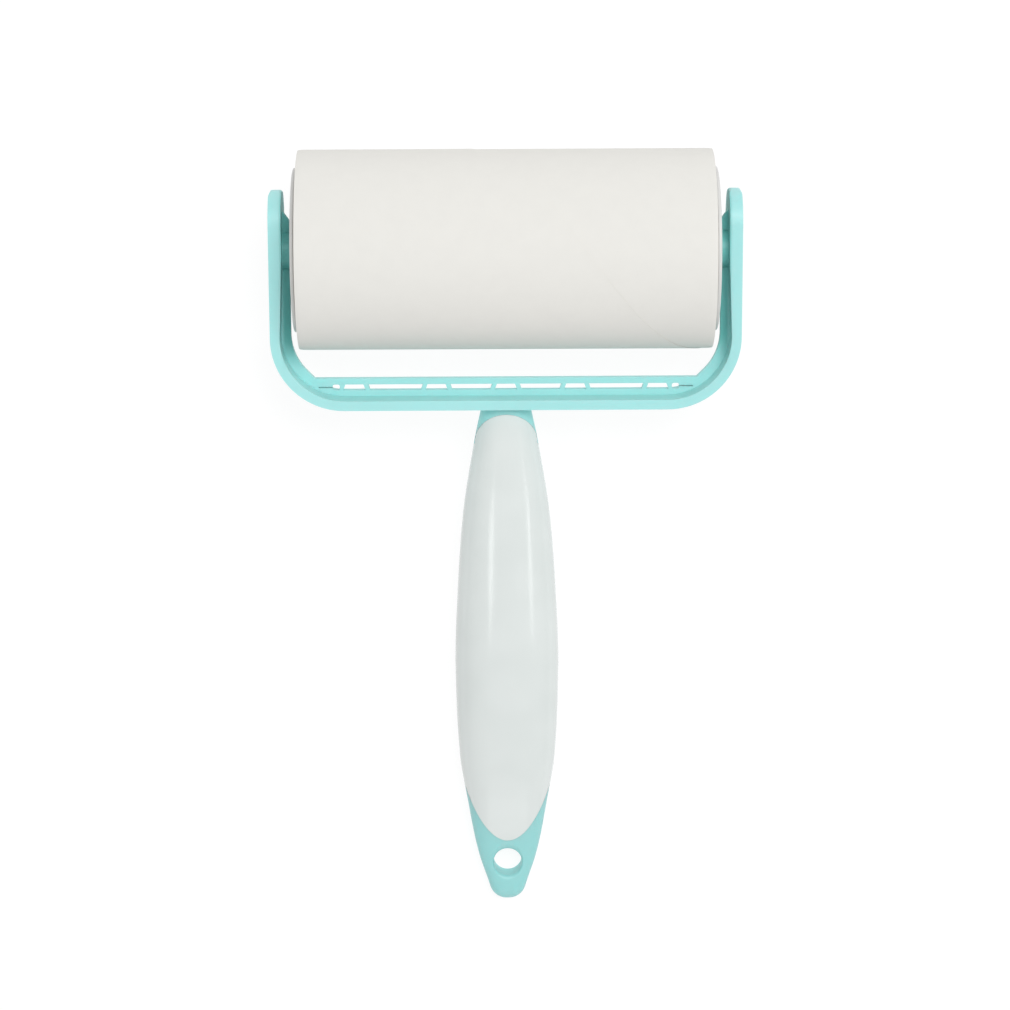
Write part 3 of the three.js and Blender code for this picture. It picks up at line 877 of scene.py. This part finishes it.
# %% [markdown]
# ## The casing's outline
# Seen from the front, each white shell is a long leaf: a round arch at the neck, and a blunt point above
# the hanging hole. Mint plastic shows beside the arch and below the point. Both shells and the core are
# cut with the same outline, drawn a little larger for the core, so the seam keeps one narrow width.

# %% Outline of the casing
ARCH_WIDTH, ARCH_RISE, ARCH_STEPS = 7.6, 7.7, 40
CASING_TOP = 1.3
CASING_END = 110.6
CASING_POINT = 8.1
CASING_SIDE = 16
SHELL_WALL = 1.7
SEAM = 0.03


def casing_plan(grow=0.0):
    spring = HANDLE_TOP - CASING_TOP - ARCH_RISE + grow
    point = HANDLE_TOP - CASING_END - grow
    width = ARCH_WIDTH + grow
    turns = [math.pi * step / ARCH_STEPS for step in range(1, ARCH_STEPS + 1)]
    across = [x / 2 for x in range(-2 * CASING_SIDE, 2 * CASING_SIDE + 1)]
    pen = Pen("casing_plan", width, spring)
    pen.run((width * math.cos(turn), spring + ARCH_RISE * math.sin(turn)) for turn in turns)
    pen.line(-CASING_SIDE, spring - CASING_SIDE)
    pen.run((x, point + x ** 2 / CASING_POINT) for x in across)
    pen.line(CASING_SIDE, spring - CASING_SIDE).line(width, spring)
    return pen.plate(2 * THROUGH)


# %% [markdown]
# ## The handle's core
# The core is one mint moulding. Its neck and its tip come out to the full size of the handle, and the
# length between them is slimmer, because the shells lie over it. Inside it is cored out in bays, as
# thick plastic has to be, and it has a socket for the tang and clearance round the screws. The rear of
# the tab is cut flat, because the handle rests on it.

# %% Core moulding
UPPER_SCREW, LOWER_SCREW = HANDLE_TOP - UPPER_SCREW_Y, HANDLE_TOP - LOWER_SCREW_Y
BAYS = [26, 42, 58, 74]
BAY = (6.2, 13)
BAY_FLOOR = 1.25
CLEAR = 0.3
SHELL_REST = 0.15
REAR_BOSS, FRONT_BOSS, BOSS_SIDES = 4.4, 3.2, 40
REAR_REACH, FRONT_REACH = 3.6, 3.9
BEYOND_SIDE, BEYOND_TIP = 20, -200


def hollow_for_casing():
    space = casing_plan(SEAM)
    return cut(space, handle_form("inside", SHELL_WALL + SHELL_REST))


core = cut(handle_form("handle_core_moulding"), hollow_for_casing())
cut(core, block(
    "flat", (-BEYOND_SIDE, BEYOND_TIP, -THROUGH), (BEYOND_SIDE, HANDLE_TOP - TAB_START, -TAB_DEPTH),
))
socket = (TANG[0] + CLEAR, TANG[2] + CLEAR)
cut(core, block(
    "socket", (-socket[0], UNDERSIDE - TANG[1] - CLEAR, -socket[1]), (socket[0], 0, socket[1]),
))
for start in BAYS:
    for low, high in ((BAY_FLOOR, THROUGH), (-THROUGH, -BAY_FLOOR)):
        top = HANDLE_TOP - start
        cut(core, block("bay", (-BAY[0], top - BAY[1], low), (BAY[0], top, high)))
for distance in (UPPER_SCREW, LOWER_SCREW):
    y, depth = HANDLE_TOP - distance, half_depth(distance)
    rear, front = (0, y, -THROUGH), (0, y, THROUGH)
    rear_end, front_end = (0, y, REAR_REACH + CLEAR - depth), (0, y, depth - FRONT_REACH - CLEAR)
    cut(core, bar("hole", SCREW_HOLE, rear, front, HOLE_SIDES))
    cut(core, bar("rear", REAR_BOSS + CLEAR, rear, rear_end, BOSS_SIDES))
    cut(core, bar("front", FRONT_BOSS + CLEAR, front_end, front, BOSS_SIDES))
print("core", len(core.data.polygons), "faces")

# %% [markdown]
# ## The hanging hole
# The hole is not a plain drilled one. Its rim rolls over on both faces with a radius of nearly a
# millimetre, so it is cut with a tool like a spool: a pen profile that is narrow in the middle and
# flares at both ends, spun round and stood upright. The core is then welded, softened and finished.

# %% Hanging hole
HANG_DISTANCE = 116.65
HANG_RADIUS = 3.55
HANG_SIDES = 64
RIM, RIM_TURN, RIM_STEPS = 0.9, 60, 8
CASING_EDGE = 0.12


def stand_up(piece, place):
    """Turns a round piece from lying along X to standing along Z, and moves it to its place."""
    work_on(piece)
    piece.rotation_euler = (0, math.radians(-90), 0)
    piece.location = place
    bpy.ops.object.transform_apply(location=True, rotation=True, scale=True)
    return piece


def hole_cutter():
    flare = TAB_DEPTH - RIM
    wide = HANG_RADIUS + RIM
    turns = [math.radians(RIM_TURN) * step / RIM_STEPS for step in range(RIM_STEPS + 1)]
    rim = [(flare + RIM * math.sin(turn), wide - RIM * math.cos(turn)) for turn in turns]
    mouth = rim[-1][1] + (THROUGH - rim[-1][0]) * math.tan(turns[-1])
    pen = Pen("hole_cutter", -THROUGH, 0)
    pen.line(-THROUGH, mouth).run((-x, y) for x, y in reversed(rim))
    pen.run(rim).line(THROUGH, mouth).line(THROUGH, 0)
    return stand_up(pen.turned(HANG_SIDES), (0, HANDLE_TOP - HANG_DISTANCE, 0))


cut(core, hole_cutter())
soften(weld(core), CASING_EDGE, 3, 55)
even_out(smooth(weld(core), 60))
core_mint_painted_light_and_shade.on(core)
lay_down(core, "handle_and_yoke", "handle_spine")

# %% [markdown]
# ## The casing
# The two white shells share the handle's form. Each is that form hollowed, cut to the leaf outline and
# halved along the middle plane. Blind bosses inside the front one take the screws, and seats in the rear
# one sink their heads. The bosses end within the wall, so that nothing shows on the polished outside. A
# tiny bevel rounds the edges where the shells meet the mint plastic.

# %% Front and rear shells
SCREW_PILOT, PILOT_SIDES = 1.2, 24
FRONT_SKIN = 1.4
SEAT_DEPTH = 2.2
SEAT_RADIUS = 3.0


def casing_shell(name, side):
    shell = combine(handle_form(name), casing_plan(), "INTERSECT")
    low, high = sorted((side * SEAM / 2, side * THROUGH))
    half = block("half", (-BEYOND_SIDE, BEYOND_TIP, low), (BEYOND_SIDE, 0, high))
    combine(shell, half, "INTERSECT")
    cut(shell, handle_form("inside", SHELL_WALL))
    for distance in (UPPER_SCREW, LOWER_SCREW):
        y, skin = HANDLE_TOP - distance, side * half_depth(distance)
        radius, reach = (FRONT_BOSS, FRONT_REACH) if side > 0 else (REAR_BOSS, REAR_REACH)
        boss_end = (0, y, skin - side * reach)
        boss = bar("boss", radius, boss_end, (0, y, skin + side * SPARE), BOSS_SIDES)
        add(shell, combine(boss, handle_form("reach", SHELL_WALL / 2), "INTERSECT"))
        if side > 0:
            pilot_end = (0, y, skin - FRONT_SKIN)
            cut(shell, bar("pilot", SCREW_PILOT, (0, y, -SPARE), pilot_end, PILOT_SIDES))
        else:
            rear, seat_end = (0, y, -THROUGH), (0, y, skin + SEAT_DEPTH)
            cut(shell, bar("hole", SCREW_HOLE, rear, (0, y, 0), HOLE_SIDES))
            cut(shell, bar("seat", SEAT_RADIUS, rear, seat_end, BOSS_SIDES))
    soften(shell, CASING_EDGE, 3, 45)
    return even_out(smooth(shell, 40))


SHELLS = [("front_shell", 1, "handle_front_cover"), ("rear_shell", -1, "handle_rear_cover")]
for name, side, node in SHELLS:
    shell = shell_white.on(casing_shell(name, side))
    lay_down(shell, "handle_and_yoke", node)

# %% [markdown]
# ## Screws
# Two self-tapping screws hold the shells, the core and the tang together. Each is a pan head with a
# rolled edge and a shank with thread ridges, drawn as half a profile and spun. Two small blocks cut the
# cross recess. The handle is thicker at one screw than at the other, so each gets its own length.

# %% Screws
HEAD_RADIUS, HEAD_HEIGHT = 2.7, 1.2
SHANK, RIDGE, PITCH = 1.05, 1.35, 1.1
HEAD_SINK = 0.7
HEAD_EDGE = [(0, 1.9), (0.12, 2.3), (0.35, 2.58), (0.7, HEAD_RADIUS)]
THREAD_START, THREAD_STOP = 0.8, 2.2
POINT_LENGTH, POINT_TIP = 1.8, 0.2
CROSS_LONG, CROSS_SHORT, CROSS_DEPTH = 1.6, 0.3, 0.65
SCREW_SIDES = 32


def casing_screw(name, distance):
    depth = half_depth(distance)
    length = 2 * depth - HEAD_SINK - FRONT_SKIN - CLEAR
    pen = Pen(name, 0, 0)
    pen.run(HEAD_EDGE).line(HEAD_HEIGHT, HEAD_RADIUS).line(HEAD_HEIGHT, SHANK)
    at = HEAD_HEIGHT + THREAD_START
    while at < length - THREAD_STOP:
        pen.line(at, SHANK).line(at + 0.4 * PITCH, RIDGE)
        pen.line(at + 0.5 * PITCH, RIDGE).line(at + 0.9 * PITCH, SHANK)
        at += PITCH
    pen.run([(length - POINT_LENGTH, SHANK), (length, POINT_TIP), (length, 0)])
    screw = pen.turned(SCREW_SIDES)
    for x, y in ((CROSS_LONG, CROSS_SHORT), (CROSS_SHORT, CROSS_LONG)):
        cut(screw, block("slot", (-0.1, -x, -y), (CROSS_DEPTH, x, y)))
    return stand_up(screw, (0, HANDLE_TOP - distance, HEAD_SINK - depth))


SCREWS = [
    ("screw_upper", UPPER_SCREW, "cover_screw_upper"),
    ("screw_lower", LOWER_SCREW, "cover_screw_lower"),
]
for name, distance, node in SCREWS:
    screw = zinc_finish.on(smooth(casing_screw(name, distance), 35))
    lay_down(screw, "handle_and_yoke", node)

# %% [markdown]
# ## Hubs
# A hub is pushed into each end of the refill and turns on the yoke's axle. It is a round cup: a thin
# flange over the end of the roll, a plug with a rounded nose that grips the board, a sleeve for the axle
# and six ribs between the two. The profile is spun, and a rib is added at each sixth of a turn. The left
# hub is a copy of the right one, with its own mesh, turned end for end.

# %% Hubs
HUB_BORE, HUB_SLEEVE = 3.8, 6
PLUG_OUT, PLUG_IN = 18.5, 16.9
FLANGE = 19.8
HUB_FACE, HUB_OUT, PLUG_END = 50.1, 51.0, 35.1
HUB_SIDES = 96
BORE_EDGE = 0.15
PLUG_NOSE = [(0, -0.6), (0.2, -0.3), (0.8, 0)]
FLANGE_EDGE = [(0, -0.25), (0.1, -0.07), (0.3, 0)]
FACE_DISH = [(0, 15), (-0.35, 14.4), (-0.35, 8.2), (0, 7.6)]
RIBS, RIB_WALL, RIB_LENGTH = 6, 1.2, 11
RIB_INTO_SLEEVE, RIB_INTO_PLUG, RIB_INTO_FLANGE = 0.8, 0.6, 0.2


def right_hand_hub():
    pen = Pen("right_hub", HUB_OUT - BORE_EDGE, HUB_BORE)
    pen.line(PLUG_END, HUB_BORE).line(PLUG_END, HUB_SLEEVE).line(HUB_FACE, HUB_SLEEVE)
    pen.line(HUB_FACE, PLUG_IN).line(PLUG_END, PLUG_IN)
    pen.run((PLUG_END + x, PLUG_OUT + y) for x, y in PLUG_NOSE).line(HUB_FACE, PLUG_OUT)
    pen.run((HUB_FACE + x, FLANGE + y) for x, y in FLANGE_EDGE)
    pen.run([(HUB_OUT - 0.3, FLANGE), (HUB_OUT - 0.1, FLANGE - 0.07), (HUB_OUT, FLANGE - 0.3)])
    pen.run((HUB_OUT + x, y) for x, y in FACE_DISH)
    pen.line(HUB_OUT, HUB_BORE + BORE_EDGE).line(HUB_OUT - BORE_EDGE, HUB_BORE)
    hub = pen.turned(HUB_SIDES)
    for turn in range(RIBS):
        rib = block(
            "rib", (HUB_FACE - RIB_LENGTH, HUB_SLEEVE - RIB_INTO_SLEEVE, -RIB_WALL / 2),
            (HUB_FACE + RIB_INTO_FLANGE, PLUG_IN + RIB_INTO_PLUG, RIB_WALL / 2),
        )
        rib.rotation_euler = (2 * math.pi * turn / RIBS, 0, 0)
        work_on(rib)
        bpy.ops.object.transform_apply(location=True, rotation=True, scale=True)
        add(hub, rib)
    return smooth(hub, 35)


right_hub = right_hand_hub()
left_hub = copy_of(right_hub, "left_hub")
work_on(left_hub)
left_hub.rotation_euler = (0, math.pi, 0)
bpy.ops.object.transform_apply(location=True, rotation=True, scale=True)
for hub, node in ((right_hub, "hub_right"), (left_hub, "hub_left")):
    lay_down(hub_finish.on(hub), "roller", node)

# %% [markdown]
# ## The refill
# Inside is a board tube, and round it lies the wound paper. Its ends are never cut perfectly flat: single
# turns stand a little in or out. The profile of the end is therefore drawn as small steps of random
# depth, with a fixed seed so that it is the same roll each time.

# %% Board tube and wound paper
HALF_PAPER = 49.8
BOARD_OUT, BOARD_IN = 19.8, 18.8
WOUND_OUT, WOUND_IN = 23.85, 19.95
INNER_EDGE, OUTER_EDGE = 0.15, 0.1
TURNS_THICK = (0.22, 0.5)
END_PLAY = 0.22
TURN_EDGE = 0.02
THINNEST = 0.05
random.seed(7)

pen = Pen("cardboard_core", HALF_PAPER, BOARD_IN + INNER_EDGE)
pen.line(HALF_PAPER - INNER_EDGE, BOARD_IN).line(-HALF_PAPER + INNER_EDGE, BOARD_IN)
pen.line(-HALF_PAPER, BOARD_IN + INNER_EDGE).line(-HALF_PAPER, BOARD_OUT - OUTER_EDGE)
pen.line(-HALF_PAPER + OUTER_EDGE, BOARD_OUT).line(HALF_PAPER - OUTER_EDGE, BOARD_OUT)
pen.line(HALF_PAPER, BOARD_OUT - OUTER_EDGE).line(HALF_PAPER, BOARD_IN + INNER_EDGE)
lay_down(board_finish.on(smooth(pen.turned(96), 40)), "roller", "core_tube")


def stepped_end(side):
    """Places across one end of the wound paper, from inside to outside."""
    places = []
    radius = WOUND_IN
    while radius < WOUND_OUT - THINNEST:
        thick = min(random.uniform(*TURNS_THICK), WOUND_OUT - radius)
        end = side * (HALF_PAPER - random.uniform(0.0, END_PLAY))
        places += [(end, radius + TURN_EDGE), (end, radius + thick - TURN_EDGE)]
        radius += thick
    return places


pen = Pen("wound_paper", 0, WOUND_IN)
pen.run(stepped_end(1)).run(reversed(stepped_end(-1))).line(0, WOUND_IN)
lay_down(wound_finish.on(smooth(pen.turned(128), 25)), "roller", "paper_roll")

# %% [markdown]
# ## The outer sheet
# The working sheet is one turn of sticky paper whose end is cut on a slant, so its edge climbs across
# the roll like a screw thread and tears off cleanly. It starts as a flat grid, the size of the real
# sheet. Each vertex is then wrapped round the roll on a tightening spiral, so the tail tucks under the
# edge, and the Solidify modifier gives it the thickness of paper.

# %% Outer sheet
SHEET_RADIUS = 24.175
SHEET_THICK = 0.07
TURN_GAP = 0.02
TUCK = 1.04
EDGE_AT = 21.1
EDGE_CLIMB = 0.31
EDGE_CURL, CURL_FADE = 0.025, 160
SIDE_DROOP, SIDE_REACH = 0.12, 0.35
PINCH_AT = (46.4, 12.6)
PINCH_DEPTH, PINCH_WIDTH, PINCH_LENGTH = 0.05, 0.35, 1.6
PINCH_LEAN, PINCH_BEND = 0.5, 0.25


def wrap_sheet(columns=120, rows=240):
    nothing_selected()
    bpy.ops.mesh.primitive_grid_add(x_subdivisions=columns, y_subdivisions=rows, size=1)
    sheet = bpy.context.object
    sheet.name = "outer_sheet"
    for vertex in sheet.data.vertices:
        x = 2 * HALF_PAPER * vertex.co.x
        turned = TUCK * (vertex.co.y + 0.5)
        angle = math.radians((EDGE_AT - x) / EDGE_CLIMB) - 2 * math.pi * turned
        radius = SHEET_RADIUS - (SHEET_THICK + TURN_GAP) * turned - EDGE_CURL
        radius += EDGE_CURL * math.exp(-turned * CURL_FADE)
        radius -= SIDE_DROOP * math.exp(-(HALF_PAPER - abs(x)) / SIDE_REACH)
        radius += wrinkle(x, -radius * math.sin(angle), math.cos(angle))
        vertex.co = (x, radius * math.sin(angle), radius * math.cos(angle))
    return sheet


def wrinkle(x, away, front):
    """A small pinch in the paper near the right end."""
    if front < 0:
        return 0.0
    along, across = x - PINCH_AT[0], away - PINCH_AT[1]
    curve = across + PINCH_LEAN * along + PINCH_BEND * along * along
    fade = math.exp(-((curve / PINCH_WIDTH) ** 2)) * math.exp(-((along / PINCH_LENGTH) ** 2))
    return -PINCH_DEPTH * fade


sheet = wrap_sheet()
edit_all(sheet)
bpy.ops.mesh.normals_make_consistent(inside=False)
done_editing()
faces = sheet.data.polygons
outward = sum(face.normal.dot(Vector((0, face.center.y, face.center.z))) for face in faces)
if outward < 0:
    edit_all(sheet)
    bpy.ops.mesh.flip_normals()
    done_editing()
modify(sheet, "SOLIDIFY", thickness=SHEET_THICK, offset=-1)
lay_down(sheet_finish.on(smooth(sheet, 50)), "roller", "working_sheet")

# %% [markdown]
# ## Floor and light
# The roller lies on a plain white floor in soft studio light. A pale sky lights it from all round, and a
# large lamp high above and a little beyond the roll makes its top the brightest part. A weak one from
# the handle's end opens the shade below the roll, and two small softboxes over the handle are there to
# be mirrored in the polished casing. The floor glows, as a lit table does, so shadows stay faint.

# %% Floor
WHITE = (1, 1, 1, 1)
FLOOR_SIZE, FLOOR_BELOW = 8, 0.0002
FLOOR_GREY, FLOOR_GLOW = (0.14, 0.14, 0.14), 0.89

nothing_selected()
bpy.ops.mesh.primitive_plane_add(size=FLOOR_SIZE, location=(0, 0, -FLOOR_BELOW))
floor = bpy.context.object
floor.name = "floor"
floor_finish = Finish("white_table", FLOOR_GREY, 0.9, Specular_IOR_Level=0.0)
floor_finish.shader.inputs["Emission Color"].default_value = WHITE
floor_finish.shader.inputs["Emission Strength"].default_value = FLOOR_GLOW
floor_finish.on(floor)


# %% Lamps
SKY_STRENGTH = 0.45
ROLL_FOOT = (0, 0, 0.02)
GRIP_MIDDLE = BENCH @ Vector((0, -85, 9))
LAMPS = [
    ("key", (0.42, 0.8, 2.1), (1.0, 1.0), 9.1, ROLL_FOOT),
    ("fill", (0, -1.3, 0.7), (1.1, 0.8), 0.9, ROLL_FOOT),
    ("left_streak", (-0.41, -0.285, 1.0), (0.2, 0.15), 4.8, GRIP_MIDDLE),
    ("right_streak", (0.84, -0.285, 1.0), (0.3, 0.15), 4.2, GRIP_MIDDLE),
]


def softbox(name, place, size, radiance, aim):
    """A rectangular lamp, its size in metres, that shows the given radiance."""
    lamp = bpy.data.lights.new(name, "AREA")
    lamp.shape = "RECTANGLE"
    lamp.size, lamp.size_y = size
    lamp.energy = radiance * math.pi * size[0] * size[1]
    holder = bpy.data.objects.new(name, lamp)
    holder.location = place
    holder.rotation_euler = (Vector(aim) - Vector(place)).to_track_quat("-Z", "Y").to_euler()
    holder.visible_camera = False
    bpy.context.scene.collection.objects.link(holder)


sky = bpy.data.worlds.new("sky")
sky.use_nodes = True
sky.node_tree.nodes["Background"].inputs["Color"].default_value = WHITE
sky.node_tree.nodes["Background"].inputs["Strength"].default_value = SKY_STRENGTH
bpy.context.scene.world = sky
for lamp in LAMPS:
    softbox(*lamp)
bpy.context.scene.view_settings.view_transform = "Standard"
print("lamps", [lamp.name for lamp in bpy.data.lights])
